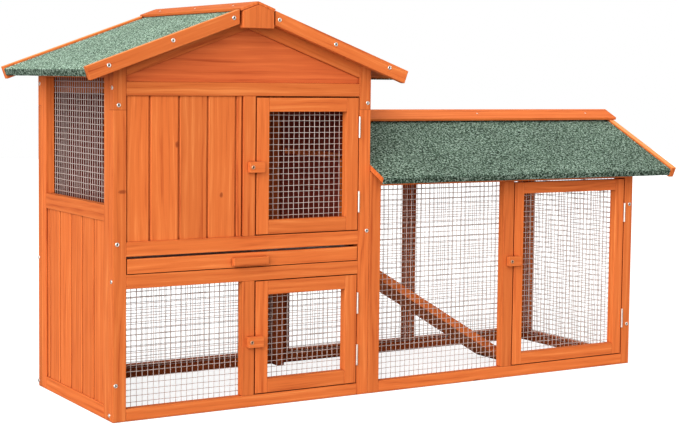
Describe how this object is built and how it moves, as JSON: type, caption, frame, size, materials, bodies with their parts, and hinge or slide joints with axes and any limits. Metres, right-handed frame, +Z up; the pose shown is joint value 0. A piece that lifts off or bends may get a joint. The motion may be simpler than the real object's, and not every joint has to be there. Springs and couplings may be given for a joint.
{
  "type": "rabbit hutch",
  "caption": "Wooden hutch: a two-storey house with a felted gable roof, mesh doors and a pull-out tray, joined by a ramp to a lower gabled wire run with its own door.",
  "frame": {"origin": "centre of the bounding box's base, on the ground", "axes": "+X along the hutch from the house to the run, -Y out of the front with the doors, +Z up"},
  "size_m": [1.55, 0.55, 0.8613],
  "materials": {
    "stained_wood": "orange-brown stain on softwood, satin",
    "latch_wood": "stained softwood, satin",
    "roof_felt": "grey-green mineral roofing felt, rough",
    "wire_mesh": "galvanised wire",
    "hinge_steel": "bright zinc plate",
    "tray_metal": "galvanised sheet"
  },
  "bodies": {
    "hutch": {"front_frame": "stained_wood", "front_gable_frame": "stained_wood", "front_gable_board": "stained_wood", "front_board_panel": "stained_wood", "left_side_frame": "stained_wood", "left_side_boards": "stained_wood", "back_frame": "stained_wood", "back_gable_board": "stained_wood", "back_board_panel": "stained_wood", "divider_frame": "stained_wood", "divider_boards": "stained_wood", "upper_floor": "stained_wood", "ramp": "stained_wood", "house_roof_deck_left": "stained_wood", "house_roof_deck_right": "stained_wood", "house_bargeboard_front_left": "stained_wood", "house_bargeboard_front_right": "stained_wood", "house_bargeboard_back_left": "stained_wood", "house_bargeboard_back_right": "stained_wood", "house_ridge_block_front": "stained_wood", "house_ridge_block_back": "stained_wood", "house_ridge_cap_left": "stained_wood", "house_ridge_cap_right": "stained_wood", "run_front_frame": "stained_wood", "run_back_frame": "stained_wood", "run_end_frame": "stained_wood", "run_roof_deck_front": "stained_wood", "run_roof_deck_back": "stained_wood", "run_bargeboard_front": "stained_wood", "run_bargeboard_back": "stained_wood", "run_ridge_cap": "stained_wood", "front_lower_mesh": "wire_mesh", "left_window_mesh": "wire_mesh", "back_lower_mesh": "wire_mesh", "run_front_mesh": "wire_mesh", "run_back_mesh": "wire_mesh", "run_end_mesh": "wire_mesh", "house_roof_felt_left": "roof_felt", "house_roof_felt_right": "roof_felt", "run_roof_felt_front": "roof_felt", "run_roof_felt_back": "roof_felt"},
    "upper_door": {"upper_door_frame": "stained_wood", "upper_door_mesh": "wire_mesh", "upper_door_hinge_top": "hinge_steel", "upper_door_hinge_bottom": "hinge_steel"},
    "lower_door": {"lower_door_frame": "stained_wood", "lower_door_mesh": "wire_mesh", "lower_door_hinge_top": "hinge_steel", "lower_door_hinge_bottom": "hinge_steel"},
    "run_door": {"run_door_frame": "stained_wood", "run_door_mesh": "wire_mesh", "run_door_hinge_top": "hinge_steel", "run_door_hinge_bottom": "hinge_steel"},
    "upper_latch": {"upper_latch": "latch_wood"},
    "lower_latch": {"lower_latch": "latch_wood"},
    "run_latch": {"run_latch": "latch_wood"},
    "doorway_shutter": {"doorway_shutter": "stained_wood"},
    "tray": {"tray_pan": "tray_metal", "tray_front": "stained_wood", "tray_handle": "stained_wood"}
  },
  "joints": [
    {"name": "upper_door_hinge", "type": "hinge", "parent": "hutch", "child": "upper_door", "pos_m": [-0.122, -0.2175, 0.37], "axis": [0, 0, 1], "range_deg": [0, 105]},
    {"name": "lower_door_hinge", "type": "hinge", "parent": "hutch", "child": "lower_door", "pos_m": [-0.122, -0.2175, 0.028], "axis": [0, 0, 1], "range_deg": [0, 170]},
    {"name": "run_door_hinge", "type": "hinge", "parent": "hutch", "child": "run_door", "pos_m": [0.655, -0.2175, 0.028], "axis": [0, 0, 1], "range_deg": [0, 170]},
    {"name": "upper_latch_pivot", "type": "hinge", "parent": "hutch", "child": "upper_latch", "pos_m": [-0.3905, -0.2153, 0.5145], "axis": [0, 1, 0], "range_deg": [-90, 90]},
    {"name": "lower_latch_pivot", "type": "hinge", "parent": "hutch", "child": "lower_latch", "pos_m": [-0.3905, -0.2153, 0.1415], "axis": [0, 1, 0], "range_deg": [-90, 90]},
    {"name": "run_latch_pivot", "type": "hinge", "parent": "hutch", "child": "run_latch", "pos_m": [0.3005, -0.2153, 0.2775], "axis": [0, 1, 0], "range_deg": [-90, 90]},
    {"name": "shutter_slide", "type": "slide", "parent": "hutch", "child": "doorway_shutter", "axis": [0, 0, 1], "range_m": [0, 0.17]},
    {"name": "tray_slide", "type": "slide", "parent": "hutch", "child": "tray", "axis": [0, -1, 0], "range_m": [0, 0.33]}
  ]
}
